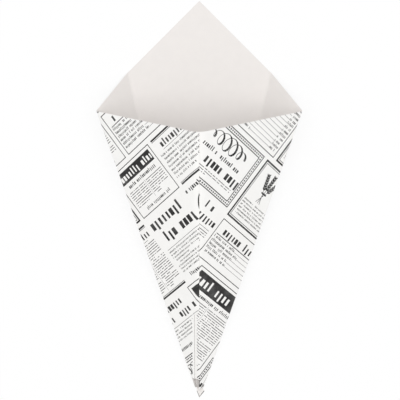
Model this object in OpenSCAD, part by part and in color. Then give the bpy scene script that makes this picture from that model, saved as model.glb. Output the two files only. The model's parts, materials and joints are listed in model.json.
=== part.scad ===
/* [Sheet] */
// Side of the square sheet, from the tip corner to the top of the seam
sheet_side = 207; // [150:1:280]
// Thickness of the paper board
paper_t = 0.3; // [0.2:0.05:0.5]

/* [Mouth] */
// Width between the shoulder creases, one sheet side up from the tip
mouth_w = 146; // [110:1:180]
// Height of the shoulder creases over the back, at the same place
shoulder_h = 25.5; // [15:0.5:35]
// Height of the front ridge over the back there, before it is rounded
ridge_h = 75; // [50:0.5:100]
// Width of the flat back there, between its two soft bends
back_w = 90; // [60:1:104]

/* [Folds] */
// Radius of the soft bends beside the flat back
bend_r = 4; // [1.5:0.5:12]
// Radius of the pressed shoulder creases
crease_r = 1.2; // [0.6:0.1:3]
// Radius of the front ridge
ridge_r = 10; // [4:0.5:20]

/* [Glued lap] */
// Width of the strip where the left flap lies on the right one
lap_w = 10; // [6:0.5:16]
// Width over which the left flap then comes down to its own level
lap_ramp = 4; // [2:0.5:8]
// How far the left flap stops short of the right one at the mouth
lap_inset = 0.4; // [0.2:0.1:1]
// Depth of the long step cut into the left flap's edge near the tip
notch_w = 3.5; // [1.5:0.1:4]
// Distance from the tip to the top of that step
notch_top = 71; // [50:1:100]
// Distance from the tip to the lower end of the lap's upper layer
lap_start = 17; // [15:0.5:24]

/* [Tip] */
// Distance from the tip to the lower end of the back's two side walls
wall_start = 8.5; // [6:0.5:11]
// Distance from the tip to the right flap's lower end, at its crease
right_start = 11; // [9:0.5:14]
// Distance from the tip to the right flap's lower end, at the seam
seam_start = 6.4; // [5:0.1:10]
// Distance from the tip to the left flap's lower end, under the lap
left_start = 15; // [12:0.5:15]
// Reach of the flat tip corner to the right
tip_right = 3.9; // [2:0.1:5]
// Reach of the flat tip corner to the left
tip_left = 1.9; // [1:0.1:4]
// Distance from the tip to the widest place of that corner
tip_rise = 5.2; // [4:0.1:7]
// Distance from the tip over which the corner runs up the back
tip_root = 12; // [11.5:0.5:16]

/* [Hidden] */

board_white = [0.96, 0.96, 0.95];
diagonal = sheet_side * sqrt(2);
// Flat strips that each rounded fold is made of
bend_steps = 6;
crease_steps = 6;
ridge_steps = 10;
// Rows and columns of the strip that makes the lap's upper layer
notch_rows = 4;
lap_rows = 12;
lap_columns = 8;
// Levels inside the wall between which that strip is rooted
root_low = paper_t / 3;
root_high = paper_t * 2 / 3;
// Share of the flap that the lap, and its ramp, may take up near the tip
lap_share = 0.6;
ramp_share = 0.85;

function unit(v) = v / norm(v);
function mix(a, b, share) = a + (b - a) * share;
function turned(v, a) = [v.x * cos(a) - v.y * sin(a), v.x * sin(a) + v.y * cos(a)];
function angle(a, b) = 2 * asin(norm(unit(a) - unit(b)) / 2);

// Points of the arc that rounds corner b between a and c
function rounded(a, b, c, radius, steps) =
    let (to_a = unit(a - b), to_c = unit(c - b))
    let (half = acos(to_a * to_c) / 2)
    let (centre = b + unit(to_a + to_c) * radius / sin(half))
    let (start = b + to_a * radius / tan(half) - centre)
    [for (i = [0:steps]) centre + turned(start, (180 - 2 * half) * i / steps)];

// Right half of the section, one sheet side from the tip, from mid-back to the ridge
bend = [back_w / 2, 0];
shoulder = [mouth_w / 2, shoulder_h];
ridge = [0, ridge_h];
ridge_arc = rounded(shoulder, ridge, [-shoulder.x, shoulder.y], ridge_r, ridge_steps);
half_section = concat(
    [[0, 0]],
    rounded([0, 0], bend, shoulder, bend_r, bend_steps),
    rounded(bend, shoulder, ridge, crease_r, crease_steps),
    [for (i = [0:ridge_steps / 2]) ridge_arc[i]]
);
half_count = len(half_section);
count = 2 * half_count - 2;

// Straight lines from the tip through the section, right round the cone
function line_to(i) =
    let (p = half_section[min(i, count - i)])
    unit([i < half_count ? p.x : -p.x, sheet_side, p.y]);
lines = [for (i = [0:count - 1]) line_to(i)];

// Outward direction of each flat strip, and of each line between two strips
strip_out = [for (i = [0:count - 1]) unit(cross(lines[i], lines[(i + 1) % count]))];
function line_out(i) =
    let (a = strip_out[(i + count - 1) % count], b = strip_out[i])
    (a + b) / (1 + a * b);
outward = [for (i = [0:count - 1]) line_out(i)];

// Angle of each line from mid-back, measured on the flat sheet
flat_angle = [
    for (i = 0, a = 0; i < half_count; a = a + angle(lines[i], lines[i + 1]), i = i + 1) a
];
crease_angle = flat_angle[1 + bend_steps + crease_steps / 2];
seam_angle = flat_angle[half_count - 1];

// Distance from the tip to the sheet's upper edge, which is two sides of the square
function sheet_reach(a) = sheet_side / cos(45 - a);

// Where a point of the flat sheet's right half lies once bent, at height h over the inner face
function bent(a, r, h) =
    let (k = max([for (i = [0:half_count - 2]) if (flat_angle[i] <= a) i]))
    let (span = flat_angle[k + 1] - flat_angle[k], rest = a - flat_angle[k])
    let (along = (lines[k] * sin(span - rest) + lines[k + 1] * sin(rest)) / sin(span))
    along * r + mix(outward[k], outward[k + 1], rest / span) * h;

// Distance from the tip to the wall's lower end on one line, for a flap that starts at two given places
first_crease = 1 + bend_steps;
last_crease = first_crease + crease_steps;
function flap_share(i) =
    (flat_angle[i] - flat_angle[last_crease]) / (seam_angle - flat_angle[last_crease]);
function low_end(i, at_crease, at_seam) =
    i <= first_crease ? wall_start :
    i <= last_crease ? mix(wall_start, at_crease, (i - first_crease) / crease_steps) :
    mix(at_crease, at_seam, flap_share(i));

// One layer of board all the way round; its lower edge steps up at the seam
module wall() {
    seam = half_count - 1;
    low = [
        for (i = [0:seam]) lines[i] * low_end(i, right_start, seam_start),
        for (i = [seam:count - 1]) lines[i] * low_end(count - i, left_start, left_start)
    ];
    low_out = [for (i = [0:count]) outward[i <= seam ? i : i - 1] * paper_t];
    high = [
        for (i = [0:count - 1]) lines[i] * sheet_reach(flat_angle[min(i, count - i)])
    ];
    low_count = count + 1;
    outer = low_count + count;
    // Corners of the strip that starts at line i, round its inner face
    function strip(i) =
        let (j = (i + 1) % count, shift = i < seam ? 0 : 1)
        let (step = i == seam - 1 ? [seam + 1] : [])
        concat([i + shift, low_count + i, low_count + j], step, [(i + 1 + shift) % low_count]);
    function flipped(face) = [for (i = [len(face) - 1:-1:0]) face[i] + outer];
    faces = concat(
        [for (i = [0:count - 1]) each [strip(i), flipped(strip(i))]],
        [for (i = [0:count]) let (j = (i + 1) % low_count) [i, j, outer + j, outer + i]],
        [
            for (i = [0:count - 1])
                let (a = low_count + i, b = low_count + (i + 1) % count)
                [a, outer + a, outer + b, b]
        ]
    );
    polyhedron(concat(low, high, low + low_out, high + outward * paper_t), faces, convexity = 8);
}

// Outline of the lap's upper layer on the flat sheet: u across from the seam, v along it
function crease_from_seam(v) = v * tan(seam_angle - crease_angle);
function cut_edge(v) = v < notch_top ? notch_w : 0;
function lap_end(v) = min(lap_w, mix(cut_edge(v), crease_from_seam(v), lap_share));
function ramp_end(v) = min(lap_w + lap_ramp, mix(cut_edge(v), crease_from_seam(v), ramp_share));
function lap_u(v, k) = k > lap_columns ? ramp_end(v) : mix(cut_edge(v), lap_end(v), k / lap_columns);
function mouth_v(u) = (sheet_side + u * sin(45 - seam_angle)) / cos(45 - seam_angle) - lap_inset;
lap_levels = concat(
    [for (i = [0:notch_rows]) mix(lap_start, notch_top - notch_w, i / notch_rows)],
    [for (i = [0:lap_rows]) mix(notch_top, sheet_side, i / lap_rows)]
);
lap_last = len(lap_levels) - 1;

// A point of that layer on the left flap, which mirrors the right one
function lap_point(row, k, h) =
    let (u = lap_u(lap_levels[row], k))
    let (v = row < lap_last ? lap_levels[row] : mouth_v(u))
    let (p = bent(seam_angle - atan2(u, v), norm([u, v]), h))
    [-p.x, p.y, p.z];
function lap_height(upper, k) = !upper ? root_low : k > lap_columns ? root_high : 2 * paper_t;

// The left flap's edge, lying on the right flap along the seam and rooted in the wall
module lap() {
    foot = lap_columns + 1;
    points = [
        for (upper = [false, true], row = [0:lap_last], k = [0:foot])
            lap_point(row, k, lap_height(upper, k))
    ];
    function at(upper, row, k) = (upper * (lap_last + 1) + row) * (foot + 1) + k;
    skins = [
        for (row = [0:lap_last - 1], k = [0:foot - 1])
            each [
                [at(1, row, k), at(1, row, k + 1), at(1, row + 1, k + 1)],
                [at(1, row, k), at(1, row + 1, k + 1), at(1, row + 1, k)],
                [at(0, row, k), at(0, row + 1, k + 1), at(0, row, k + 1)],
                [at(0, row, k), at(0, row + 1, k), at(0, row + 1, k + 1)]
            ]
    ];
    long_edges = [
        for (row = [0:lap_last - 1])
            each [
                [at(0, row, 0), at(1, row, 0), at(1, row + 1, 0), at(0, row + 1, 0)],
                [at(0, row, foot), at(0, row + 1, foot), at(1, row + 1, foot), at(1, row, foot)]
            ]
    ];
    short_edges = [
        for (k = [0:foot - 1])
            each [
                [at(0, 0, k), at(0, 0, k + 1), at(1, 0, k + 1), at(1, 0, k)],
                [at(0, lap_last, k), at(1, lap_last, k), at(1, lap_last, k + 1), at(0, lap_last, k + 1)]
            ]
    ];
    polyhedron(points, concat(skins, long_edges, short_edges), convexity = 8);
}

// The sheet's own corner, which stays flat below the tube
module tip_corner() {
    root = tip_root * bend.x / sheet_side;
    translate([0, 0, -paper_t])
        linear_extrude(paper_t)
            polygon([
                [0, 0],
                [tip_right, tip_rise],
                [root, tip_root],
                [-root, tip_root],
                [-tip_left, tip_rise]
            ]);
}

// One sheet, folded and glued, lying on its flat back with the seam on top
module folded_sheet() {
    color(board_white)
        translate([0, -diagonal / 2, paper_t])
            union() {
                wall();
                lap();
                tip_corner();
            }
}

folded_sheet();
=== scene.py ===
"""A printed paper cone for chips, folded from one square sheet and lying on its flat back."""

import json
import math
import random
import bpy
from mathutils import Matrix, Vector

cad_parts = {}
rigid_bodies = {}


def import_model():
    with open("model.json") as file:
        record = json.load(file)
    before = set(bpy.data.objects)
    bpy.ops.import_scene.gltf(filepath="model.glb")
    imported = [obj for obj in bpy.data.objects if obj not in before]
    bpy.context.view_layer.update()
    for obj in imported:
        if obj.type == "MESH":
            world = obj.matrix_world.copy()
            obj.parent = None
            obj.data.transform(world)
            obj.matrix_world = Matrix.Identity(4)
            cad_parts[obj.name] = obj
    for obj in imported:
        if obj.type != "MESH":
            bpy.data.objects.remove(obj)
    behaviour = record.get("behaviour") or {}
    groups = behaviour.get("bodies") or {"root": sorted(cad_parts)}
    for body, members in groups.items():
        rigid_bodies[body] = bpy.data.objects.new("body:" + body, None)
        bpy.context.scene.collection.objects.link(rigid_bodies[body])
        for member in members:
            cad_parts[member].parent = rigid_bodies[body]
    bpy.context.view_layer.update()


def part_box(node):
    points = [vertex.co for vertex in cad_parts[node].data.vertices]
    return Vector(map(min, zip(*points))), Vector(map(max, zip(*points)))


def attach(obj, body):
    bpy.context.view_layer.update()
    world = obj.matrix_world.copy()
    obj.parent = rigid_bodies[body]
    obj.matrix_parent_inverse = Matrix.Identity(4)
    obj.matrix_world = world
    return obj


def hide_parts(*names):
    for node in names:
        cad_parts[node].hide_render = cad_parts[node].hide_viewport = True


bl_info = {
    "name": "Paper fry cone",
    "version": (1, 0, 0),
    "blender": (4, 5, 0),
    "location": "3D View > Sidebar > Fry cone",
    "description": "Builds a paper cone that is folded round one corner of a printed square sheet",
    "category": "Add Mesh",
}

import bpy
from bpy.props import FloatProperty, FloatVectorProperty, IntProperty, PointerProperty
from mathutils import Matrix, Vector
from mathutils.geometry import delaunay_2d_cdt
from mathutils.kdtree import KDTree

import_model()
NODE = "folded_sheet"
NODE_LOW, NODE_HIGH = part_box(NODE)

MM = 0.001
# Points that lie closer than this are one
JOIN = 1e-6
SQUARE_CORNER = math.radians(45)
SHARP_EDGE = math.radians(35)
FLAT_MAP = "flat_sheet"
OUTER, INK, INNER = range(3)


# Sizes and colours a user may change

def to_linear(code):
    """Turns an sRGB hex colour into the linear colour that a shader takes."""
    shares = [int(code[i:i + 2], 16) / 255 for i in (1, 3, 5)]
    return [s / 12.92 if s <= 0.04045 else ((s + 0.055) / 1.055) ** 2.4 for s in shares] + [1.0]


WHITE, BLACK = to_linear("#FFFFFF"), to_linear("#000000")


def length(name, description, millimetres):
    """A length, given in millimetres."""
    return FloatProperty(name=name, description=description, default=millimetres * MM, unit="LENGTH")


def colour(name, description, code):
    """A colour, given as sRGB hex."""
    return FloatVectorProperty(
        name=name, description=description, default=to_linear(code), size=4, min=0, max=1, subtype="COLOR")


class FryConeSheet(bpy.types.PropertyGroup):
    """Sizes of the folded sheet."""

    side: length("Sheet side", "Side of the square sheet", (NODE_HIGH.y - NODE_LOW.y) / math.sqrt(2) / MM)
    thickness: length("Board thickness", "Thickness of the paper board", 0.3)
    mouth: length("Mouth width", "Width between the shoulder creases, one sheet side from the tip", 146)
    shoulder: length("Shoulder height", "Height of the shoulder creases over the back", 25.5)
    ridge: length("Ridge height", "Height of the front ridge before it is rounded", 75)
    back: length("Back width", "Width of the flat back between its two soft bends", 90)
    bend_radius: length("Bend radius", "Radius of the soft bends beside the back", 4)
    crease_radius: length("Crease radius", "Radius of the pressed shoulder creases", 1.2)
    ridge_radius: length("Ridge radius", "Radius of the front ridge", 10)
    lap: length("Lap width", "Width of the strip where the left flap lies on the right one", 10)
    ramp: length("Lap ramp", "Width over which the left flap comes down to its own level", 4)
    glue: length("Glue line", "Gap between the two layers of the lap", 0.12)
    notch: length("Notch depth", "Depth of the long step in the left flap's edge near the tip", 3.5)
    notch_top: length("Notch top", "Distance from the tip to the top of that step", 71)
    margin: length("Seam margin", "Width of the white margins on both sides of that step", 1.8)
    lap_start: length("Lap start", "Distance from the tip to the left flap's lower end, at its crease", 17)
    wall_start: length("Wall start", "Distance from the tip to the lower end of the back's side walls", 8.5)
    right_start: length(
        "Right start", "Distance from the tip to the right flap's lower end, at its crease", 11)
    seam_start: length(
        "Seam start", "Distance from the tip to the right flap's lower end, at the seam", 6.4)
    left_start: length(
        "Left start", "Distance from the tip to the left flap's lower end, at its edge", 15)
    tip_right: length("Tip right", "Reach of the flat tip corner to the right", 3.9)
    tip_left: length("Tip left", "Reach of the flat tip corner to the left", 1.9)
    tip_rise: length("Tip rise", "Distance from the tip to the widest place of that corner", 5.2)


class FryConePrint(bpy.types.PropertyGroup):
    """Sizes of the print on the outer face."""

    gutter: length("Gutter", "White space between two notices", 3.4)
    largest: length("Largest notice", "Longest side a notice may have", 84)
    pitch: length("Line pitch", "Distance between two lines of small text", 1.7)
    head_height: length("Headline height", "Height of the shapes that stand for headlines", 7)
    seed: IntProperty(name="Layout", description="Number that picks the layout of the notices", default=1)


class FryConeFinish(bpy.types.PropertyGroup):
    """Colours of the board and the ink."""

    outer: colour("Outer board", "White of the printed face", "#F8F7F5")
    inner: colour("Inner board", "Greyer white of the unprinted face", "#EDE9E6")
    ink: colour("Ink", "Black of the print", "#181717")


class FryConeStage(bpy.types.PropertyGroup):
    """Camera, light and floor."""

    distance: length("Camera distance", "Distance from the camera to the cone", 1100)
    tilt: FloatProperty(
        name="Camera tilt", description="How far the camera leans from straight above toward the top",
        default=math.radians(1.4), subtype="ANGLE")
    offset: length("Camera offset", "How far the camera stands to the right of the cone's middle", 0.5)
    view_width: length("View width", "Width of the picture on the floor", 294.9)
    sky: FloatProperty(
        name="Sky light", description="Strength of the even white light from all round", default=0.64)
    lamp: FloatProperty(
        name="Lamp", description="Power of the wide soft lamp overhead", default=12.6, unit="POWER")
    lamp_size: length("Lamp size", "Side of that lamp", 1600)
    lamp_height: length("Lamp height", "Height of that lamp over the floor", 1500)
    lamp_shift: length("Lamp shift", "How far that lamp stands toward the top point", 100)
    floor: colour("Floor", "Colour of the floor", "#FAFAFA")
    floor_reach: length("Floor reach", "Distance from the cone to the floor's edges", 3000)


# Node trees

def feed(tree, node, inputs):
    """Sets or links inputs of a node, by name or by number among those in use."""
    for key, value in inputs.items():
        usable = [socket for socket in node.inputs if socket.enabled]
        socket = usable[key] if isinstance(key, int) else next(s for s in usable if s.name == key)
        if isinstance(value, bpy.types.NodeSocket):
            tree.links.new(value, socket)
        else:
            socket.default_value = value


def add(tree, kind, inputs, **settings):
    """Adds a node with its settings, inputs and links, and gives its first output in use."""
    node = tree.nodes.new(kind)
    for name, value in settings.items():
        setattr(node, name, value)
    feed(tree, node, inputs)
    return next((socket for socket in node.outputs if socket.enabled), None)


def geometry_tree(name, inputs):
    """Starts a geometry tree with named inputs; gives it with their sockets and identifiers."""
    tree = bpy.data.node_groups.new(name, "GeometryNodeTree")
    for way in ("INPUT", "OUTPUT"):
        tree.interface.new_socket("Geometry", in_out=way, socket_type="NodeSocketGeometry")
    names = {}
    for label, kind in inputs.items():
        socket = tree.interface.new_socket(label, in_out="INPUT", socket_type="NodeSocket" + kind)
        names[label] = socket.identifier
    return tree, add(tree, "NodeGroupInput", {}).node.outputs, names


def dressed(mesh, tree, names, values):
    """The mesh that a geometry tree makes of another one."""
    holder = bpy.data.objects.new("holder", mesh)
    bpy.context.scene.collection.objects.link(holder)
    modifier = holder.modifiers.new(tree.name, "NODES")
    modifier.node_group = tree
    for label, value in values.items():
        modifier[names[label]] = value
    graph = bpy.context.evaluated_depsgraph_get()
    made = bpy.data.meshes.new_from_object(holder.evaluated_get(graph))
    holder.modifiers.remove(modifier)
    bpy.data.objects.remove(holder)
    return made


def word_tree():
    """A tree that breaks each line into words of random length and gives them the height of a bar."""
    tree, group, names = geometry_tree("word bars", {
        "Letter": "Float", "Gap share": "Float", "Seed": "Int"})
    lines = add(tree, "GeometryNodeMeshToCurve", {"Mesh": group["Geometry"]})
    letters = add(tree, "GeometryNodeResampleCurve", {
        "Curve": lines, "Length": group["Letter"]}, mode="LENGTH")
    cells = add(tree, "GeometryNodeCurveToMesh", {"Curve": letters})
    gap = add(tree, "FunctionNodeRandomValue", {
        "Probability": group["Gap share"], "Seed": group["Seed"]}, data_type="BOOLEAN")
    words = add(tree, "GeometryNodeDeleteGeometry", {
        "Geometry": cells, "Selection": gap}, domain="EDGE", mode="EDGE_FACE")
    runs = add(tree, "GeometryNodeMeshToCurve", {"Mesh": words})
    ends = add(tree, "GeometryNodeResampleCurve", {"Curve": runs, "Count": 2}, mode="COUNT")
    size = add(tree, "GeometryNodeInputNamedAttribute", {"Name": "size"}, data_type="FLOAT")
    level = add(tree, "GeometryNodeSetCurveNormal", {"Curve": ends}, mode="Z_UP")
    profile = add(tree, "GeometryNodeCurvePrimitiveLine", {"Start": (-0.5, 0, 0), "End": (0.5, 0, 0)})
    bars = add(tree, "GeometryNodeCurveToMesh", {"Curve": level, "Profile Curve": profile, "Scale": size})
    real = add(tree, "GeometryNodeRealizeInstances", {"Geometry": bars})
    add(tree, "NodeGroupOutput", {"Geometry": real})
    return tree, names


def ornament_tree():
    """A tree that sets shapes from a collection along each line, at random and with gaps."""
    tree, group, names = geometry_tree("ornaments", {
        "Shapes": "Collection", "Step": "Float", "Last": "Int", "Gap share": "Float", "Seed": "Int"})
    size = add(tree, "GeometryNodeInputNamedAttribute", {"Name": "size"}, data_type="FLOAT")
    step = add(tree, "ShaderNodeMath", {0: size, 1: group["Step"]}, operation="MULTIPLY")
    lines = add(tree, "GeometryNodeMeshToCurve", {"Mesh": group["Geometry"]})
    places = add(tree, "GeometryNodeCurveToPoints", {"Curve": lines, "Length": step}, mode="LENGTH")
    gap = add(tree, "FunctionNodeRandomValue", {
        "Probability": group["Gap share"], "Seed": group["Seed"]}, data_type="BOOLEAN")
    kept = add(tree, "GeometryNodeDeleteGeometry", {"Geometry": places, "Selection": gap}, domain="POINT")
    shapes = add(tree, "GeometryNodeCollectionInfo", {
        "Collection": group["Shapes"], "Separate Children": True, "Reset Children": True})
    pick = add(tree, "FunctionNodeRandomValue", {
        "Min": 0, "Max": group["Last"], "Seed": group["Seed"]}, data_type="INT")
    turned = add(tree, "FunctionNodeAlignEulerToVector", {
        "Vector": places.node.outputs["Tangent"]}, axis="X")
    spread = add(tree, "GeometryNodeInstanceOnPoints", {
        "Points": kept, "Instance": shapes, "Pick Instance": True, "Instance Index": pick,
        "Rotation": turned, "Scale": size})
    real = add(tree, "GeometryNodeRealizeInstances", {"Geometry": spread})
    add(tree, "NodeGroupOutput", {"Geometry": real})
    return tree, names


def roll_tree():
    """A tree that bends the flat slab round its tip, along a curve of directions, and sets its materials."""
    tree, group, names = geometry_tree("roll", {
        "Directions": "Object", "Seam angle": "Float", "Flat tip": "Float", "Wall start": "Float",
        "Flap side": "Float", "Place": "Vector",
        "Outer": "Material", "Ink": "Material", "Inner": "Material"})
    place = add(tree, "GeometryNodeInputPosition", {})
    across, up, height = add(tree, "ShaderNodeSeparateXYZ", {0: place}).node.outputs
    level = add(tree, "ShaderNodeCombineXYZ", {"X": across, "Y": up})
    reach = add(tree, "ShaderNodeVectorMath", {0: level}, operation="LENGTH")
    angle = add(tree, "ShaderNodeMath", {0: across, 1: up}, operation="ARCTAN2")
    turn = add(tree, "ShaderNodeMath", {0: angle, 1: group["Seam angle"]}, operation="ADD")
    curve = add(tree, "GeometryNodeObjectInfo", {"Object": group["Directions"]}).node.outputs["Geometry"]
    sample = add(tree, "GeometryNodeSampleCurve", {"Curves": curve, "Length": turn}, mode="LENGTH")
    line, tangent = (sample.node.outputs[label] for label in ("Position", "Tangent"))
    normal = add(tree, "ShaderNodeVectorMath", {0: line, 1: tangent}, operation="CROSS_PRODUCT")
    outward = add(tree, "ShaderNodeVectorMath", {0: normal}, operation="NORMALIZE")
    lifted = add(tree, "ShaderNodeVectorMath", {"Vector": outward, "Scale": height}, operation="SCALE")
    bent = add(tree, "ShaderNodeVectorMath", {0: line, 1: reach, 2: lifted}, operation="MULTIPLY_ADD")
    flat = add(tree, "ShaderNodeVectorMath", {0: place, 1: (1, 1, -1)}, operation="MULTIPLY")
    share = add(tree, "ShaderNodeMapRange", {
        "Value": reach, "From Min": group["Flat tip"], "From Max": group["Wall start"]})
    flap = add(tree, "ShaderNodeMath", {0: across, 1: group["Flap side"]}, operation="GREATER_THAN")
    rolled = add(tree, "ShaderNodeMath", {0: share, 1: flap}, operation="MAXIMUM")
    mixed = add(tree, "ShaderNodeMix", {"Factor": rolled, "A": flat, "B": bent}, data_type="VECTOR")
    moved = add(tree, "GeometryNodeSetPosition", {
        "Geometry": group["Geometry"], "Position": mixed, "Offset": group["Place"]})
    made = add(tree, "GeometryNodeRealizeInstances", {"Geometry": moved})
    kind = add(tree, "GeometryNodeInputNamedAttribute", {"Name": "kind"}, data_type="INT")
    for number, label in enumerate(("Outer", "Ink", "Inner")):
        chosen = add(tree, "FunctionNodeCompare", {
            "A": kind, "B": number}, data_type="INT", operation="EQUAL")
        made = add(tree, "GeometryNodeSetMaterial", {
            "Geometry": made, "Selection": chosen, "Material": group[label]})
    add(tree, "NodeGroupOutput", {"Geometry": made})
    return tree, names


# Print: a page of plain notices, laid out in millimetres on the flat sheet

def box(area):
    """Corners of an upright rectangle (left, low, right, high)."""
    left, low, right, high = area
    return [(left, low), (right, low), (right, high), (left, high)]


def inset(area, by):
    """A rectangle drawn in by the same width on all sides."""
    return area[0] + by, area[1] + by, area[2] - by, area[3] - by


def bar(x0, y0, x1, y1, width):
    """Corners of a straight line of some width between two points."""
    run = Vector((x1 - x0, y1 - y0)).normalized() * width / 2
    return [(x0 + run.y, y0 - run.x), (x1 + run.y, y1 - run.x),
            (x1 - run.y, y1 + run.x), (x0 - run.y, y0 + run.x)]


def ellipse(x, y, rx, ry, count=40):
    """Points round an ellipse."""
    turns = [2 * math.pi * i / count for i in range(count)]
    return [(x + rx * math.cos(a), y + ry * math.sin(a)) for a in turns]


def star(outer, inner, points):
    """Points of a star round the origin."""
    turns = [(math.pi * i / points, inner if i % 2 else outer) for i in range(2 * points)]
    return [(reach * math.sin(a), reach * math.cos(a)) for a, reach in turns]


def leaf(x0, y0, x1, y1, fat, count=7):
    """A pointed leaf from one point to another."""
    dx, dy = x1 - x0, y1 - y0
    way = [(i / count, 1) for i in range(count + 1)] + [(i / count, -1) for i in range(count - 1, 0, -1)]
    points = []
    for t, side in way:
        bulge = side * fat * math.sin(math.pi * t) / 2
        points.append((x0 + dx * t - dy * bulge, y0 + dy * t + dx * bulge))
    return points


def shrunk(points, share):
    """A shape drawn in toward its middle."""
    middle = sum((Vector(p) for p in points), Vector((0, 0))) / len(points)
    return [tuple(Vector(p).lerp(middle, share)) for p in points]


def middle_of(area):
    """Middle of an area and half its shorter side."""
    left, low, right, high = area
    return (left + right) / 2, (low + high) / 2, min(right - left, high - low) / 2


class Page:
    """The print: solid shapes in drawing order, and lines that become words, type or beads."""

    # Widths of rules, sizes of small headings and the gap between columns, in millimetres
    hairline, thin_rule, fine_rule, list_rule = 0.2, 0.25, 0.3, 0.6
    footing, caption, medal_caption = 2.5, 2.8, 3.4
    column_gap = 2.2
    # A list's distance between rows, sizes of type and dots, width of short entries and end of the dots
    row_pitch, entry_size, dot_size, entry_width, dots_end = 3.1, 2.1, 0.65, 6, 7
    # Heights of words and of type in the text, as shares of its line pitch
    word_share, type_share = 0.28, 0.56
    # Fewest and most lines of a paragraph, and shortest and longest share of its last line
    paragraph, last_line = (4, 9), (0.35, 0.8)
    # Depth and width of each frame of a border, and the depth of the room inside it
    borders = {
        "thin": (((0, 0.6),), 2.6),
        "double": (((0, 1.3), (2.0, 0.45)), 4.2),
        "beads": (((0, 0.7), (3.2, 0.7)), 5.3),
    }
    # Depth and size of the beads that lie between the two frames of a border with beads
    bead_depth, bead_size = 1.9, 1.6
    # Depth and width of the two rules above and below a notice, and the depth of the room between them
    edge_rules, rule_room = ((0.6, 1.3), (1.9, 0.4)), 3.2
    # Half width, foot and top of the plain blocks that stand for type, in shares of its size
    blocks = (0.12, 0, 0.7), (0.2, 0, 0.7), (0.15, 0, 0.7), (0.22, 0, 0.7), (0.12, 0, 1), (0.12, -0.2, 0.7)

    def __init__(self, look):
        self.look = look
        self.chance = random.Random(look.seed)
        self.head = look.head_height / MM
        self.fine = look.pitch / MM
        self.plain = self.fine * 1.4
        self.large = self.fine * 1.8
        self.shapes = []
        self.tiles = []
        self.lines = {"words": [], "type": [], "beads": []}
        self.pictures = 0

    def shape(self, points, ink=True):
        """Adds a solid shape, turned anticlockwise."""
        pairs = zip(points, points[1:] + points[:1])
        area = sum(x0 * y1 - x1 * y0 for (x0, y0), (x1, y1) in pairs)
        self.shapes.append((points if area > 0 else points[::-1], ink))

    def rule(self, x0, y0, x1, y1, width, ink=True):
        """Adds a straight line of some width."""
        self.shape(bar(x0, y0, x1, y1, width), ink)

    def line(self, kind, x0, y0, x1, y1, size, ink=True):
        """Adds a line to be dressed, if it is long enough."""
        if Vector((x1 - x0, y1 - y0)).length > size:
            self.lines[kind].append((x0, y0, x1, y1, size, ink))

    def text(self, area, pitch, columns=1):
        """Lines of text in columns, with short lines where a paragraph ends."""
        left, low, right, high = area
        width = (right - left - self.column_gap * (columns - 1)) / columns
        small = pitch < self.plain
        kind, size = ("words", pitch * self.word_share) if small else ("type", pitch * self.type_share)
        for column in range(columns):
            x0 = left + column * (width + self.column_gap)
            y = high - pitch * 0.8
            start = x0
            until = self.chance.randint(*self.paragraph)
            while y > low:
                until -= 1
                last = until == 0 or y - pitch <= low
                end = x0 + width * (self.chance.uniform(*self.last_line) if last else 1)
                self.line(kind, start, y, end, y, size)
                start = x0
                if until == 0:
                    start = x0 + pitch * 1.5
                    until = self.chance.randint(*self.paragraph)
                y -= pitch
            if column:
                between = x0 - self.column_gap / 2
                self.rule(between, low, between, high, self.hairline)

    def heading(self, left, right, y, size, share=1.0, ink=True):
        """One line of type standing on height y, in the middle of its column."""
        cut = (right - left) * (1 - share) / 2
        self.line("type", left + cut + size * 0.25, y, right - cut, y, size, ink)

    def border(self, area, style):
        """Draws a border and gives the area inside it."""
        frames, room = self.borders[style]
        for depth, width in frames:
            self.shape(box(inset(area, depth)))
            self.shape(box(inset(inset(area, depth), width)), False)
        if style == "beads":
            corners = box(inset(area, self.bead_depth))
            for start, end in zip(corners, corners[1:] + corners[:1]):
                self.line("beads", *start, *end, self.bead_size)
        return inset(area, room)

    def rules(self, area):
        """Draws a thick and a thin rule above and below, and gives the area between them."""
        left, low, right, high = area
        for depth, width in self.edge_rules:
            for y in (high - depth, low + depth):
                self.rule(left, y, right, y, width)
        return left + 0.3, low + self.rule_room, right - 0.3, high - self.rule_room

    # Small pictures, drawn from -1 to 1

    def sunburst(self, ink):
        """A round seal with rays."""
        for reach, dark in ((1, ink), (0.93, not ink), (0.88, ink)):
            self.shape(ellipse(0, 0, reach, reach), dark)
        self.shape(star(0.82, 0.36, 20), not ink)
        self.shape(ellipse(0, 0, 0.33, 0.33), ink)
        self.shape(star(0.24, 0.1, 6), not ink)

    def compass(self, ink):
        """A compass rose whose points are half dark."""
        self.shape(ellipse(0, 0, 0.8, 0.8), ink)
        self.shape(ellipse(0, 0, 0.75, 0.75), not ink)
        for i in range(8):
            turn = math.pi / 4 * ((2 * i + 1) if i < 4 else 2 * i)
            point = tuple(along(turn, 0.7 if i < 4 else 1))
            for side in (-1, 1):
                half = [(0, 0), tuple(along(turn + side * math.pi / 4, 0.26)), point]
                self.shape(half, ink)
                if side > 0:
                    self.shape(shrunk(half, 0.3), not ink)

    def waves(self, reach, top, pitch, swell, ink):
        """Three rows of small swells."""
        count = round(2 * reach / swell)
        step = 2 * reach / count
        for row in range(3):
            y = top - pitch * row
            for i in range(count):
                x = i * step - reach
                self.shape(leaf(x, y, x + step * 0.8, y, 0.2, 5), ink)

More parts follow.
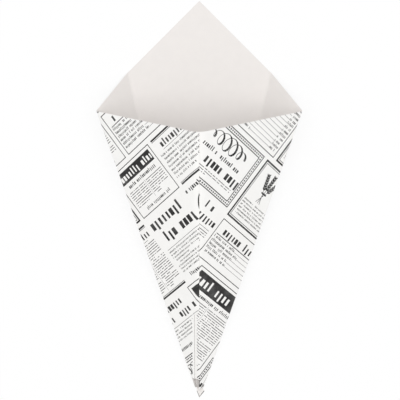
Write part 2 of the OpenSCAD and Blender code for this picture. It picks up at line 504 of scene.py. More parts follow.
    def fish(self, ink):
        """A striped fish over waves."""
        self.shape([(0.5, 0), (1, 0.42), (0.86, 0), (1, -0.42)], ink)
        self.shape([(-0.3, 0.2), (0.3, 0.15), (0.25, 0.6)], ink)
        self.shape(leaf(-1, 0, 0.62, 0, 0.62, 14), ink)
        for i in range(5):
            x = 0.17 * i - 0.28
            tall = 0.36 - 0.055 * i
            self.shape(leaf(x, -tall, x, tall, 0.14 + 0.02 * i), not ink)
        self.shape(ellipse(-0.64, 0.08, 0.1, 0.1, 16), not ink)
        self.shape(ellipse(-0.64, 0.08, 0.045, 0.045, 10), ink)
        self.waves(0.9, -0.55, 0.14, 0.3, ink)

    def boat(self, ink):
        """A sailing boat on waves."""
        self.shape([(-0.62, -0.42), (0.72, -0.42), (0.5, -0.66), (-0.45, -0.66)], ink)
        self.rule(0, -0.42, 0, 0.98, 0.05, ink)
        self.shape([(0.07, -0.32), (0.68, -0.32), (0.07, 0.92)], ink)
        for i in range(1, 4):
            y = 0.25 * i - 0.32
            self.rule(0.07, y, 0.66 - 0.125 * i, y, 0.03, not ink)
        sail = [(-0.07, -0.3), (-0.07, 0.82), (-0.56, -0.3)]
        self.shape(sail, ink)
        self.shape(shrunk(sail, 0.22), not ink)
        self.waves(0.95, -0.72, 0.13, 0.26, ink)

    def wheat(self, ink):
        """Three ears of wheat tied in the middle."""
        for lean in (-0.42, 0, 0.42):
            foot = Vector((-0.4 * lean, -1))
            top = Vector((1.3 * lean, 0.95 - abs(lean) * 0.4))
            self.rule(*foot, *top, 0.035, ink)
            grain = (top - foot).normalized() * 0.26
            for i in range(6):
                root = foot.lerp(top, 0.46 + 0.085 * i)
                for side in (-0.55, 0.55):
                    self.shape(leaf(*root, *(root + Matrix.Rotation(side, 2) @ grain), 0.42, 4), ink)
        self.shape(box((-0.22, -0.4, 0.22, -0.3)), ink)

    def balloon(self, ink):
        """A striped balloon with its basket."""
        for side in (-1, 1):
            self.rule(side * 0.42, -0.2, side * 0.12, -0.74, 0.03, ink)
        for wide, tall, dark in ((0.66, 0.68, ink), (0.62, 0.64, not ink), (0.5, 0.64, ink),
                                 (0.33, 0.64, not ink), (0.16, 0.64, ink)):
            self.shape(ellipse(0, 0.3, wide, tall), dark)
        self.shape(box((-0.17, -1, 0.17, -0.74)), ink)
        self.rule(-0.17, -0.84, 0.17, -0.84, 0.03, not ink)

    def picture(self, area, ink=True):
        """One of the small pictures, taken in turn and set into its area."""
        x, y, r = middle_of(area)
        kinds = (self.boat, self.wheat, self.sunburst, self.fish, self.balloon, self.compass)
        first = len(self.shapes)
        kinds[self.pictures % len(kinds)](ink)
        self.pictures += 1
        for number in range(first, len(self.shapes)):
            points, dark = self.shapes[number]
            self.shapes[number] = [(x + r * across, y + r * up) for across, up in points], dark

    def flourish(self, area):
        """A coiled pen stroke, tallest in the middle and thick where it runs down."""
        left, low, right, high = area
        middle, tall = (low + high) / 2, (high - low) / 2
        loops = max(3, round((right - left) / tall / 1.4))
        steps = loops * 16
        places = []
        for i in range(steps + 1):
            turn = 2 * math.pi * loops * i / steps
            rise = tall * (0.15 + 0.85 * math.sin(math.pi * i / steps))
            x = left + tall + (right - left - 2 * tall) * i / steps
            places.append(Vector((x - rise * 0.8 * math.cos(turn), middle + rise * math.sin(turn))))
        for a, b in zip(places, places[1:]):
            fall = max(0, (a.y - b.y) / (b - a).length)
            self.rule(*a, *b, 0.45 + tall * 0.24 * fall)

    # Kinds of notice

    def bold_notice(self, area):
        """Two bold lines over plain text, with no border."""
        left, low, right, high = inset(area, 0.6)
        wide = right - left
        size = min(self.head * 1.15, (high - low) * 0.16)
        y = high - size
        self.heading(left, left + wide * 0.85, y, size)
        y -= size * 1.5
        self.heading(left + wide * 0.12, right, y, size)
        y -= size * 0.6
        self.rule(left, y, right, y, self.fine_rule)
        self.text((left, low + 5, right, y - 0.8), self.chance.choice((self.fine, self.plain)))
        self.heading(left, right, low + 0.6, self.caption, 0.8)

    def banner_notice(self, area):
        """A dark band with light type, and columns of text under it."""
        left, low, right, high = self.border(area, "thin")
        band = min(self.head * 1.75, (high - low) * 0.26)
        self.shape(box((left, high - band, right, high)))
        self.heading(left + 1.5, right - 1.5, high - band * 0.78, band * 0.6, ink=False)
        y = high - band - 4.4
        self.heading(left, right, y, self.caption, 0.8)
        self.text((left, low + 4.5, right, y - 1.4), self.fine, 2 if right - left > 30 else 1)
        self.heading(left, right, low + 0.4, self.footing, 0.7)

    def picture_notice(self, area):
        """A picture beside short heads, over lines of text."""
        left, low, right, high = self.border(area, "double")
        side = min((right - left) * 0.52, (high - low) * 0.6)
        flip = self.chance.random() < 0.5
        x = right - side if flip else left
        self.picture((x, high - side, x + side, high))
        x0, x1 = (left, x - 1.5) if flip else (x + side + 1.5, right)
        y = high
        for size in (self.head, self.head * 0.55, self.head):
            y -= size * 1.35
            if y > high - side:
                self.heading(x0, x1, y, size)
        self.text((x0, high - side, x1, y - 1.2), self.fine)
        self.text((left, low, right, high - side - 1.5), self.chance.choice((self.fine, self.plain)))

    def column_notice(self, area):
        """Columns of text under a head."""
        left, low, right, high = self.rules(area)
        y = high - self.head * 0.85
        self.heading(left, right, y, self.head * 0.75, 0.9)
        y -= 1.6
        self.rule(left + 5, y, right - 5, y, self.thin_rule)
        large = self.chance.random() < 0.5
        self.text((left, low, right, y - 1.0), self.large if large else self.fine, 1 if large else 2)

    def display_notice(self, area):
        """A pen flourish and large type in an ornamental border."""
        left, low, right, high = self.border(area, "beads")
        size = min(self.head * 1.3, (high - low) * 0.2)
        y = high - size * 1.7
        self.flourish((left, y, right, high))
        y -= size * 0.8
        self.heading(left, right, y, size * 0.5, 0.75)
        y -= size * 1.3
        self.heading(left, right, y, size)
        y -= 1.6
        self.text((left + 1.5, low + 0.5, right - 1.5, y), self.fine)

    def list_notice(self, area):
        """A list with rows of dots that lead to short entries."""
        left, low, right, high = self.border(area, "thin")
        y = high - self.head
        self.heading(left, right, y, self.head * 0.85, 0.85)
        y -= 1.8
        self.rule(left, y, right, y, self.list_rule)
        y -= 3
        while y > low:
            split = left + (right - left) * self.chance.uniform(0.35, 0.55)
            for x0, x1 in ((left, split), (right - self.entry_width, right)):
                self.line("type", x0, y, x1, y, self.entry_size)
            self.line("beads", split + 1.2, y + 0.3, right - self.dots_end, y + 0.3, self.dot_size)
            y -= self.row_pitch

    def medal_notice(self, area):
        """A dark round picture with rings, and type above and below it."""
        left, low, right, high = area
        x, y, r = middle_of((left, low + 5, right, high - 5))
        rx = min((right - left) / 2, r * 1.25)
        for share, ink in ((1, True), (0.96, False), (0.93, True), (0.84, False), (0.82, True)):
            self.shape(ellipse(x, y, rx * share, r * share, 56), ink)
        for place in ellipse(x, y, rx * 0.885, r * 0.885):
            self.shape(ellipse(*place, 0.5, 0.5, 8), False)
        self.picture((x - r * 0.6, y - r * 0.6, x + r * 0.6, y + r * 0.6), False)
        for foot in (high - 3.6, low + 0.4):
            self.heading(left, right, foot, self.medal_caption, 0.9)

    def split(self, area):
        """Divides an area into tiles, always across its longer side."""
        left, low, right, high = area
        wide, tall = right - left, high - low
        if max(wide, tall) < self.look.largest / MM * self.chance.uniform(0.8, 1.1):
            self.tiles.append(area)
            return
        share = self.chance.uniform(0.4, 0.6)
        if wide > tall:
            cut = left + wide * share
            parts = ((left, low, cut, high), (cut, low, right, high))
        else:
            cut = low + tall * share
            parts = ((left, low, right, cut), (left, cut, right, high))
        for part in parts:
            self.split(part)

    def lay_out(self, area):
        """Fills the whole page with notices of every kind."""
        self.split(area)
        kinds = [self.bold_notice, self.banner_notice, self.picture_notice, self.column_notice,
                 self.display_notice, self.list_notice, self.medal_notice]
        bag = []
        for tile in self.tiles:
            if not bag:
                bag = self.chance.sample(kinds, len(kinds))
            bag.pop()(inset(tile, self.look.gutter / MM / 2))

    # Lines that become shapes

    def dress(self):
        """Turns the lines into shapes with the trees for words and ornaments."""
        solids = shape_collection("type solids", [
            box((-half, foot, half, top)) for half, foot, top in self.blocks])
        bead = shape_collection("beads", [star(0.5, 0.36, 4)])
        words, ornaments = word_tree(), ornament_tree()
        ways = (
            ("words", words, {"Letter": 0.9, "Gap share": 0.16}),
            ("type", ornaments, {
                "Shapes": solids, "Step": 0.55, "Last": len(self.blocks) - 1, "Gap share": 0.13}),
            ("beads", ornaments, {"Shapes": bead, "Step": 1.25, "Last": 0, "Gap share": 0.0}))
        for ink in (True, False):
            for kind, (tree, names), values in ways:
                mesh = dressed(self.line_mesh(kind, ink), tree, names, {**values, "Seed": self.look.seed})
                for face in mesh.polygons:
                    self.shape([mesh.vertices[i].co.xy.to_tuple() for i in face.vertices], ink)
        for collection in (solids, bead):
            for thing in list(collection.objects):
                bpy.data.objects.remove(thing)
            bpy.data.collections.remove(collection)

    def line_mesh(self, kind, ink):
        """A mesh of the lines of one kind and tone, with each line's size at its ends."""
        lines = [line for line in self.lines[kind] if line[-1] == ink]
        mesh = bpy.data.meshes.new(kind)
        ends = [end for x0, y0, x1, y1, *_ in lines for end in ((x0, y0, 0), (x1, y1, 0))]
        mesh.from_pydata(ends, [(2 * i, 2 * i + 1) for i in range(len(lines))], [])
        size = mesh.attributes.new("size", "FLOAT", "POINT")
        size.data.foreach_set("value", [line[-2] for line in lines for _ in range(2)])
        return mesh

    def turn_over(self):
        """Mirrors the page: the sheet is drawn from its inner face and printed on its outer one."""
        shapes = self.shapes
        self.shapes = []
        for points, ink in shapes:
            self.shape([(-x, y) for x, y in points], ink)
        self.tiles = [(-right, low, -left, high) for left, low, right, high in self.tiles]


def shape_collection(name, outlines):
    """A collection with one flat object for each outline."""
    collection = bpy.data.collections.new(name)
    bpy.context.scene.collection.children.link(collection)
    for number, outline in enumerate(outlines):
        mesh = bpy.data.meshes.new(f"{name} {number}")
        mesh.from_pydata([(x, y, 0) for x, y in outline], [], [range(len(outline))])
        collection.objects.link(bpy.data.objects.new(mesh.name, mesh))
    return collection


# Folded sheet

def rounded(a, b, c, radius, steps):
    """Points of the arc that rounds corner b between a and c."""
    to_a = (a - b).normalized()
    to_c = (c - b).normalized()
    half = math.acos(to_a.dot(to_c)) / 2
    centre = b + (to_a + to_c).normalized() * (radius / math.sin(half))
    start = b + to_a * (radius / math.tan(half)) - centre
    sweep = math.pi - 2 * half
    return [centre + Matrix.Rotation(sweep * i / steps, 2) @ start for i in range(steps + 1)]


def along(angle, reach):
    """A point of the flat sheet, by its angle from the diagonal and its distance from the tip."""
    return Vector((math.sin(angle), math.cos(angle))) * reach


class Fold:
    """How the folded sheet lies: straight lines from the tip, and their angles on the flat sheet."""

    # Flat strips that each rounded fold is made of
    bend_steps, crease_steps, ridge_steps = 8, 8, 16
    # Steps along a curved lower edge and along the lap, and the widest turn between two directions
    edge_steps, lap_steps, turn_step = 8, 40, math.radians(0.5)
    # Shares of the flap that the lap, its ramp and the strip under it may take up near the tip
    lap_share, ramp_share, under_share = 0.6, 0.85, 0.9
    # Angle where the side walls' lower edge starts, as a share of the flat back's half angle
    wall_turn = 1.1
    # Shares of the wall's start up to which the tip lies flat, and from which on the sheet is rolled
    flat_share, rolled_share = 0.82, 0.98
    # How far the strip under the lap stops short of the mouth
    under_drop = 0.8 * MM
    # Length of the fold lines, as a share of the distance from the tip to the sheet's upper edge
    past = 1.02
    # Widths in millimetres of the thin lines of painted shadow and shade at the notch, the seam's free edge,
    # the tip's fold and corner
    notch_line, free_line, fold_line, corner_line = 0.28, 0.5, 0.2, 0.45
    # How far the painted shade line at the tip's fold runs past the lap's lower end
    fold_run = 2 * MM
    # Share of the tip corner's reach that the painted shadow lines along its cut edges keep to
    corner_share = 0.92

    def __init__(self, sizes):
        self.sizes = sizes
        bend = Vector((sizes.back / 2, 0))
        shoulder = Vector((sizes.mouth / 2, sizes.shoulder))
        ridge = Vector((0, sizes.ridge))
        arc = rounded(shoulder, ridge, shoulder * Vector((-1, 1)), sizes.ridge_radius, self.ridge_steps)
        section = [Vector((0, 0))]
        section += rounded(Vector((0, 0)), bend, shoulder, sizes.bend_radius, self.bend_steps)
        section += rounded(bend, shoulder, ridge, sizes.crease_radius, self.crease_steps)
        section += arc[:self.ridge_steps // 2 + 1]
        self.lines = [Vector((p.x, sizes.side, p.y)).normalized() for p in section]
        self.angles = [0.0]
        for a, b in zip(self.lines, self.lines[1:]):
            self.angles.append(self.angles[-1] + a.angle(b))
        self.back = self.angles[1]
        self.crease = self.angles[1 + self.bend_steps + self.crease_steps // 2]
        self.seam = self.angles[-1]
        self.flap = self.seam - self.crease

    def reach(self, angle):
        """Distance from the tip to the sheet's upper edge."""
        return self.sizes.side / math.cos(SQUARE_CORNER - abs(angle))

    def right(self, across, up):
        """A point of the flat sheet measured from the right flap's seam line."""
        return along(self.seam, up) + along(self.seam - math.pi / 2, across)

    def left(self, across, up):
        """A point of the flat sheet measured from the left flap's seam line."""
        return along(-self.seam, up) + along(math.pi / 2 - self.seam, across)

    def directions(self):
        """Unit directions from the left seam round the back to the right seam, and on under the lap."""
        mirrored = [line * Vector((-1, 1, 1)) for line in reversed(self.lines)]
        way = mirrored + self.lines[1:] + mirrored[1:]
        fine = [way[0]]
        for a, b in zip(way, way[1:]):
            steps = math.ceil(a.angle(b) / self.turn_step)
            fine += [a.slerp(b, (i + 1) / steps) for i in range(steps)]
        return fine

    def lap_edges(self, up):
        """Where the lap's raised part ends and where its ramp ends, across from the left seam."""
        edge = self.sizes.notch if up < self.sizes.notch_top else 0
        room = up * math.tan(self.flap) - edge
        return (min(self.sizes.lap, edge + room * self.lap_share),
                min(self.sizes.lap + self.sizes.ramp, edge + room * self.ramp_share))

    def lift(self, point):
        """Height of the inner face over the cone's own surface: the left flap rises on to the right one."""
        angle = math.atan2(point.x, point.y) + self.seam
        reach = point.length
        if angle > self.flap or reach < self.sizes.wall_start or point.x > 0:
            return 0.0
        level, foot = self.lap_edges(reach * math.cos(angle))
        share = (foot - reach * math.sin(angle)) / (foot - level)
        return (self.sizes.thickness + self.sizes.glue) * max(0.0, min(1.0, share))

    def outline(self):
        """Corners of the flat sheet, anticlockwise from the tip."""
        sizes = self.sizes
        arc = [i / self.edge_steps for i in range(self.edge_steps + 1)]
        low = self.back * self.wall_turn
        wall = self.crease - low
        under = self.flap * self.under_share
        top = self.reach(self.seam)
        fall = sizes.seam_start - sizes.right_start
        return [
            Vector((0, 0)),
            Vector((sizes.tip_right, sizes.tip_rise)),
            *(along(low + wall * t, sizes.wall_start) for t in arc),
            *(along(self.crease + self.flap * t, sizes.right_start + fall * t) for t in arc),
            along(self.seam, sizes.left_start),
            along(self.seam + under, sizes.lap_start),
            along(self.seam + under, sizes.lap / math.sin(under)),
            self.right(-sizes.lap, top - self.under_drop),
            along(self.seam, top),
            along(0, self.reach(0)),
            along(-self.seam, top),
            self.left(0, sizes.notch_top),
            self.left(sizes.notch, sizes.notch_top - sizes.notch),
            self.left(sizes.notch, sizes.left_start),
            along(-self.crease, sizes.lap_start),
            *(along(wall * t - self.crease, sizes.wall_start) for t in arc),
            Vector((-sizes.tip_left, sizes.tip_rise)),
        ]

    def trim(self, page):
        """Leaves the margins beside the notch white, and draws thin ink lines of painted shadow and shade
        along the edges and the fold near the tip.
        """
        sizes = self.sizes
        step = sizes.notch_top - sizes.notch
        margins = (
            (self.right, -sizes.margin, -2 * sizes.lap, 2 * sizes.side),
            (self.left, 0, sizes.notch + sizes.margin, step))
        for place, near, far, high in margins:
            corners = [place(*spot) / MM for spot in ((near, 0), (near, high), (far, high), (far, 0))]
            page.shape([tuple(corner) for corner in corners], False)
        seam_foot = self.right(0, sizes.seam_start)
        # Painted shadow along the notch's cut edge and the seam's free edge, and painted shade along the
        # tip's fold
        edges = (
            (self.left(sizes.notch, sizes.left_start), self.left(sizes.notch, step), self.notch_line),
            (self.right(0, sizes.right_start), self.right(0, sizes.left_start), self.free_line),
            (seam_foot, along(self.crease, sizes.lap_start + self.fold_run), self.fold_line))
        for start, end, width in edges:
            page.rule(*(start / MM), *(end / MM), width)

    def tip_edges(self):
        """Thin dark lines of painted shadow on the inner face, along the two cut edges of the flat tip
        corner.
        """
        width = self.corner_line
        ends = [(side / MM * self.corner_share, self.sizes.tip_rise / MM)
                for side in (self.sizes.tip_right, -self.sizes.tip_left)]
        return [(bar(0, width * 2, *end, width), True) for end in ends]

    def fold_lines(self):
        """Lines on the flat sheet along which it changes direction or level."""
        start = self.sizes.seam_start
        lines = []
        for angle in self.angles[1:]:
            for side in (-angle, angle):
                lines.append([along(side, start), along(side, self.reach(side) * self.past)])
            if self.seam > angle > self.seam - self.flap / 2:
                beyond = 2 * self.seam - angle
                lines.append([along(beyond, start), along(beyond, self.reach(self.seam) * self.past)])
        run = self.sizes.side - self.sizes.lap_start
        ups = [self.sizes.lap_start + run * i / self.lap_steps for i in range(self.lap_steps + 1)]
        for which in range(2):
            lines.append([self.left(self.lap_edges(up)[which], up) for up in ups])
        return lines


def finder_of(points):
    """A search tree of numbered points on the flat sheet."""
    finder = KDTree(len(points))
    for number, point in points:
        finder.insert(point.to_3d(), number)
    finder.balance()
    return finder


def cut_flat(outline, lines, tiles, shapes):
    """Cuts the sheet tile by tile along lines and shapes; gives points, triangles and their inked state."""
    marks = [Vector(corner) * MM for tile in tiles for corner in box(tile)]
    points, triangles, inked = [], [], []
    for tile in tiles:
        first = len(points)
        group = [shape for shape in shapes if overlap(tile, shape[0])]
        places, faces, inks = cut_tile(outline, lines, marks, tile, group)
        points += places
        triangles += [[first + i for i in face] for face in faces]
        inked += inks
    finder = finder_of(list(enumerate(points)))
    same = [min(i for _, i, _ in finder.find_range(point.to_3d(), JOIN)) for point in points]
    joined = [tuple(same[i] for i in face) for face in triangles]
    whole = [(face, ink) for face, ink in zip(joined, inked) if len(set(face)) == 3]
    used = sorted({i for face, _ in whole for i in face})
    number = {i: k for k, i in enumerate(used)}
    return ([points[i] for i in used], [tuple(number[i] for i in face) for face, _ in whole],
            [ink for _, ink in whole])


def overlap(tile, corners):
    """Whether a shape's own box meets a tile."""
    xs, ys = zip(*corners)
    return min(xs) < tile[2] and max(xs) > tile[0] and min(ys) < tile[3] and max(ys) > tile[1]


def cut_tile(outline, lines, marks, tile, shapes):
    """Cuts the part of the sheet inside one tile; the last shape drawn decides a triangle's ink."""
    points = list(outline)
    faces = [list(range(len(points)))]
    edges = []
    for line in lines:
        first = len(points)
        points += line
        edges += [(first + i, first + i + 1) for i in range(len(line) - 1)]
    for corners in [box(tile)] + [corners for corners, _ in shapes]:
        faces.append(list(range(len(points), len(points) + len(corners))))
        points += [Vector(corner) * MM for corner in corners]
    made = delaunay_2d_cdt(points + marks, edges, faces, 0, JOIN / 10, True)
    places, triangles, owners = made[0], made[2], made[5]
    kept = [(face, max(own)) for face, own in zip(triangles, owners) if 0 in own and 1 in own]
    inked = [last > 1 and shapes[last - 2][1] for _, last in kept]
    return places, [face for face, _ in kept], inked


def rim_of(triangles):
    """The next point round the edge, for each point on the edge of a set of triangles."""
    runs = {(face[i], face[(i + 1) % len(face)]) for face in triangles for i in range(len(face))}
    return {a: b for a, b in runs if (b, a) not in runs}


def whole_of(tiles):
    """The rectangle that holds all tiles."""
    lefts, lows, rights, highs = zip(*tiles)
    return min(lefts), min(lows), max(rights), max(highs)


def flat_slab(fold, tiles, shapes):
    """The sheet as a flat closed slab whose height is the distance from the cone's inner surface."""
    outline, lines = fold.outline(), fold.fold_lines()
    outer_points, outer_faces, inked = cut_flat(outline, lines, tiles, shapes)
    # The inner face's only ink is the painted shadow along the tip corner's cut edges
    inner_points, inner_faces, edged = cut_flat(outline, lines, [whole_of(tiles)], fold.tip_edges())
    first = len(outer_points)
    points = [(p.x, p.y, fold.lift(p) + fold.sizes.thickness) for p in outer_points]
    points += [(p.x, p.y, fold.lift(p)) for p in inner_points]
    faces = [tuple(reversed(face)) for face in outer_faces]
    kinds = [INK if ink else OUTER for ink in inked]
    faces += [tuple(first + i for i in face) for face in inner_faces]
    kinds += [INK if edge else INNER for edge in edged]
    outer_rim, inner_rim = rim_of(outer_faces), rim_of(inner_faces)
    finder = finder_of([(i, outer_points[i]) for i in outer_rim])
    twin = {i: finder.find(inner_points[i].to_3d())[1] for i in inner_rim}
    for a, b in inner_rim.items():
        chain = [twin[a]]
        while chain[-1] != twin[b]:
            if len(chain) > len(outer_rim):
                raise ValueError("the sheet's two faces have different edges")
            chain.append(outer_rim[chain[-1]])
        faces.append((first + b, first + a, *chain))
    kinds += [INNER] * (len(faces) - len(kinds))
    mesh = bpy.data.meshes.new("flat sheet")
    mesh.from_pydata(points, [], faces)
    mesh.attributes.new("kind", "INT", "FACE").data.foreach_set("value", kinds)
    uv = mesh.uv_layers.new(name=FLAT_MAP)
    for loop in mesh.loops:
        uv.data[loop.index].uv = points[loop.vertex_index][:2]
    mesh.update()
    return mesh


def direction_curve(fold):
    """The curve on the unit sphere that the straight lines of the cone run through."""
    data = bpy.data.curves.new("directions", "CURVE")
    data.dimensions = "3D"
    way = fold.directions()
    spline = data.splines.new("POLY")
    spline.points.add(len(way) - 1)
    for point, place in zip(spline.points, way):
        point.co = (*place, 1)
    curve = bpy.data.objects.new("directions", data)
    bpy.context.scene.collection.objects.link(curve)
    return curve


# Materials

# Widths of the board's clouds and fibres, and of the ink's grain and patches
CLOUD_WIDTH, FIBRE_WIDTH = 7 * MM, 0.7 * MM
GRAIN_WIDTH, PATCH_WIDTH = 0.35 * MM, 12 * MM
# Distances from the tip between which painted shade darkens the board where the cone closes over its tip,
# and then fades out again
DUSK_STARTS, DUSK_FULL = 7 * MM, 8.4 * MM
LIGHT_STARTS, LIGHT_FULL = 8.6 * MM, 15 * MM
# Distances from a crease within which its ink is rubbed most, and beyond which it isn't rubbed
RUB_MOST, RUB_ENDS = 0.1 * MM, 0.5 * MM
# Height of the fibres, and the low specular level of matt board and ink
FIBRE_HEIGHT = 0.05 * MM
MATT_SPECULAR = 0.3
# How much of the floor's look, where it is seen, is plain white
FLOOR_WHITE = 0.82


def material(name):
    """A new material with nodes; gives it with its tree and its shader."""
    made = bpy.data.materials.new(name)
    made.use_nodes = True
    return made, made.node_tree, made.node_tree.nodes["Principled BSDF"]


def board(name, tint, shade, roughness, grain, dusk):
    """Paper board: cloudy formation and short fibres, which show as a faint mottle and a soft matt sheen.

    The last argument is how dark the painted shade gets where the cone closes over its flat tip corner."""
    made, tree, shader = material(name)
    place = add(tree, "ShaderNodeUVMap", {}, uv_map=FLAT_MAP)
    cloud = add(tree, "ShaderNodeTexNoise", {"Vector": place, "Scale": 1 / CLOUD_WIDTH, "Detail": 3})
    fibre = add(tree, "ShaderNodeTexNoise", {
        "Vector": place, "Scale": 1 / FIBRE_WIDTH, "Detail": 4, "Roughness": 0.65, "Distortion": 0.8})
    mottle = add(tree, "ShaderNodeMath", {0: cloud, 1: fibre}, operation="MULTIPLY")
    tone = add(tree, "ShaderNodeMapRange", {
        "Value": mottle, "From Min": 0.12, "From Max": 0.38, "To Min": 1, "To Max": 0})
    dark = [part * shade for part in tint[:3]] + [1]
    mottled = add(tree, "ShaderNodeMix", {"Factor": tone, "A": tint[:], "B": dark}, data_type="RGBA")
    # Painted shade: darker where the cone closes over its flat tip corner, lighter again further up the tube
    reach = add(tree, "ShaderNodeVectorMath", {0: place}, operation="LENGTH")
    closed = add(tree, "ShaderNodeMapRange", {
        "Value": reach, "From Min": DUSK_STARTS, "From Max": DUSK_FULL, "To Max": dusk})
    opened = add(tree, "ShaderNodeMapRange", {
        "Value": reach, "From Min": LIGHT_STARTS, "From Max": LIGHT_FULL, "To Min": 1, "To Max": 0})
    depth = add(tree, "ShaderNodeMath", {0: closed, 1: opened}, operation="MULTIPLY")
    shaded = add(tree, "ShaderNodeMix", {"Factor": depth, "A": mottled, "B": BLACK}, data_type="RGBA")
    bump = add(tree, "ShaderNodeBump", {"Height": fibre, "Strength": grain, "Distance": FIBRE_HEIGHT})
    feed(tree, shader, {
        "Base Color": shaded, "Normal": bump, "Roughness": roughness, "Specular IOR Level": MATT_SPECULAR})
    return made


def print_ink(name, tint, paper, crease):
    """Black offset ink: a little uneven where the board's grain shows, and rubbed along the creases."""
    made, tree, shader = material(name)
    place = add(tree, "ShaderNodeUVMap", {}, uv_map=FLAT_MAP)
    grain = add(tree, "ShaderNodeTexNoise", {"Vector": place, "Scale": 1 / GRAIN_WIDTH, "Detail": 3})
    patch = add(tree, "ShaderNodeTexNoise", {"Vector": place, "Scale": 1 / PATCH_WIDTH, "Detail": 2})
    both = add(tree, "ShaderNodeMath", {0: grain, 1: patch}, operation="MULTIPLY")
    thin = add(tree, "ShaderNodeMapRange", {
        "Value": both, "From Min": 0.22, "From Max": 0.45, "To Min": 0, "To Max": 0.12})
    across, up, _ = add(tree, "ShaderNodeSeparateXYZ", {0: place}).node.outputs
    angle = add(tree, "ShaderNodeMath", {0: across, 1: up}, operation="ARCTAN2")
    turn = add(tree, "ShaderNodeMath", {0: angle}, operation="ABSOLUTE")
    off = add(tree, "ShaderNodeMath", {0: turn, 1: crease}, operation="SUBTRACT")
    reach = add(tree, "ShaderNodeVectorMath", {0: place}, operation="LENGTH")
    away = add(tree, "ShaderNodeMath", {0: off, 1: reach}, operation="MULTIPLY")
    near = add(tree, "ShaderNodeMath", {0: away}, operation="ABSOLUTE")
    rub = add(tree, "ShaderNodeMapRange", {
        "Value": near, "From Min": RUB_ENDS, "From Max": RUB_MOST, "To Min": 0, "To Max": 0.9})
    worn = add(tree, "ShaderNodeMath", {0: rub, 1: grain}, operation="MULTIPLY")
    bare = add(tree, "ShaderNodeMath", {0: thin, 1: worn}, operation="ADD", use_clamp=True)
    mixed = add(tree, "ShaderNodeMix", {"Factor": bare, "A": tint[:], "B": paper[:]}, data_type="RGBA")
    feed(tree, shader, {"Base Color": mixed, "Roughness": 0.5, "Specular IOR Level": MATT_SPECULAR})
    return made


def seen_share(tree):
    """A socket that is 1 where the stage is seen, straight on or in a reflection, and 0 elsewhere."""
    path = add(tree, "ShaderNodeLightPath", {}).node.outputs
    share = path["Is Camera Ray"]
    for label in ("Is Glossy Ray", "Is Transmission Ray"):
        share = add(tree, "ShaderNodeMath", {0: share, 1: path[label]}, operation="MAXIMUM")
    return share


def floor_material(tint):
    """Matt white sweep: seen straight on it is mostly plain white, so only a soft shadow is left on it."""
    made, tree, shader = material("matt white sweep")
    feed(tree, shader, {"Base Color": tint, "Roughness": 1.0, "Specular IOR Level": 0.0})
    share = add(tree, "ShaderNodeMath", {0: seen_share(tree), 1: FLOOR_WHITE}, operation="MULTIPLY")
    white = add(tree, "ShaderNodeEmission", {"Color": WHITE, "Strength": 1.0})
    surface = add(tree, "ShaderNodeMixShader", {0: share, 1: shader.outputs[0], 2: white})
    feed(tree, tree.nodes["Material Output"], {"Surface": surface})
    return made


# Operators

class FRYCONE_OT_sheet(bpy.types.Operator):
    """Prints the flat sheet and folds it into the cone"""

    bl_idname = "frycone.sheet"
    bl_label = "Build the printed sheet"

    def execute(self, context):
        sizes = context.scene.fry_cone_sheet
        finish = context.scene.fry_cone_finish
        fold = Fold(sizes)
        page = Page(context.scene.fry_cone_print)
        diagonal = fold.reach(0) / MM
        # The page reaches a little past the sheet on all sides
        half_width, spare = diagonal * 0.52, 6
        page.lay_out((-half_width, -spare, half_width, diagonal + spare))
        page.dress()
        page.turn_over()
        fold.trim(page)
        slab = flat_slab(fold, page.tiles, page.shapes)
        outer = board("white printed board", finish.outer, shade=0.97, roughness=0.6, grain=0.25, dusk=0.0)
        ink = print_ink("black offset ink", finish.ink, finish.outer, fold.crease)
        # The inner board carries painted shade inside the tip
        inner = board("unprinted board", finish.inner, shade=0.975, roughness=0.75, grain=0.4, dusk=0.36)
        for made in (outer, ink, inner):
            slab.materials.append(made)
        curve = direction_curve(fold)
        tree, names = roll_tree()
        mesh = dressed(slab, tree, names, {
            "Directions": curve,
            "Seam angle": fold.seam,
            "Flat tip": sizes.wall_start * fold.flat_share,
            "Wall start": sizes.wall_start * fold.rolled_share,
            "Flap side": (sizes.tip_right + math.sin(fold.crease) * sizes.right_start) / 2,
            "Place": (0, -fold.reach(0) / 2, sizes.thickness),
            "Outer": outer,
            "Ink": ink,
            "Inner": inner})
        bpy.data.objects.remove(curve)
        mesh.shade_smooth()
        mesh.set_sharp_from_angle(angle=SHARP_EDGE)
        mesh.name = "printed sheet"
        piece = bpy.data.objects.new("printed_sheet", mesh)
        context.scene.collection.objects.link(piece)
        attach(piece, "root")
        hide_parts(NODE)
        return {"FINISHED"}


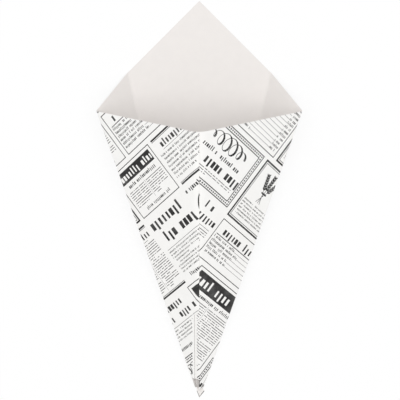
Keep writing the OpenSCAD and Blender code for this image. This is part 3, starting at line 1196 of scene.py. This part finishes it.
class FRYCONE_OT_stage(bpy.types.Operator):
    """Sets the floor, the light and the camera"""

    bl_idname = "frycone.stage"
    bl_label = "Build the stage"

    def execute(self, context):
        scene = context.scene
        look = scene.fry_cone_stage
        half = look.floor_reach
        mesh = bpy.data.meshes.new("floor")
        mesh.from_pydata([(x, y, 0) for x, y in box((-half, -half, half, half))], [], [range(4)])
        mesh.materials.append(floor_material(look.floor))
        floor = bpy.data.objects.new("floor", mesh)
        scene.collection.objects.link(floor)

        world = bpy.data.worlds.new("studio")
        world.use_nodes = True
        tree = world.node_tree
        strength = add(tree, "ShaderNodeMix", {
            "Factor": seen_share(tree), "A": look.sky, "B": 1.0}, data_type="FLOAT")
        feed(tree, tree.nodes["Background"], {"Color": WHITE, "Strength": strength})
        scene.world = world

        light = bpy.data.lights.new("overhead", "AREA")
        light.shape = "SQUARE"
        light.size = look.lamp_size
        light.energy = look.lamp
        lamp = bpy.data.objects.new("overhead", light)
        lamp.location = (0, look.lamp_shift, look.lamp_height)
        lamp.rotation_euler = (-lamp.location).to_track_quat("-Z", "Y").to_euler()
        scene.collection.objects.link(lamp)

        data = bpy.data.cameras.new("camera")
        data.lens = data.sensor_width * look.distance / look.view_width
        camera = bpy.data.objects.new("camera", data)
        camera.location = Vector((0, math.sin(look.tilt), math.cos(look.tilt))) * look.distance
        camera.location.x = look.offset
        camera.rotation_euler = (-look.tilt, 0, 0)
        scene.collection.objects.link(camera)
        scene.camera = camera
        scene.view_settings.view_transform = "Standard"
        return {"FINISHED"}


class FRYCONE_PT_panel(bpy.types.Panel):
    """Panel with the sizes, colours and build steps"""

    bl_label = "Fry cone"
    bl_idname = "FRYCONE_PT_panel"
    bl_space_type = "VIEW_3D"
    bl_region_type = "UI"
    bl_category = "Fry cone"

    def draw(self, context):
        layout = self.layout
        for name in GROUPS:
            group = getattr(context.scene, name)
            column = layout.column(align=True)
            for label in group.__annotations__:
                column.prop(group, label)
        layout.operator(FRYCONE_OT_sheet.bl_idname)
        layout.operator(FRYCONE_OT_stage.bl_idname)


GROUPS = {
    "fry_cone_sheet": FryConeSheet,
    "fry_cone_print": FryConePrint,
    "fry_cone_finish": FryConeFinish,
    "fry_cone_stage": FryConeStage,
}
CLASSES = (*GROUPS.values(), FRYCONE_OT_sheet, FRYCONE_OT_stage, FRYCONE_PT_panel)


def register():
    for item in CLASSES:
        bpy.utils.register_class(item)
    for name, group in GROUPS.items():
        setattr(bpy.types.Scene, name, PointerProperty(type=group))


def unregister():
    for name in GROUPS:
        delattr(bpy.types.Scene, name)
    for item in reversed(CLASSES):
        bpy.utils.unregister_class(item)


def main():
    register()
    bpy.ops.frycone.sheet()
    bpy.ops.frycone.stage()


if __name__ == "__main__":
    main()
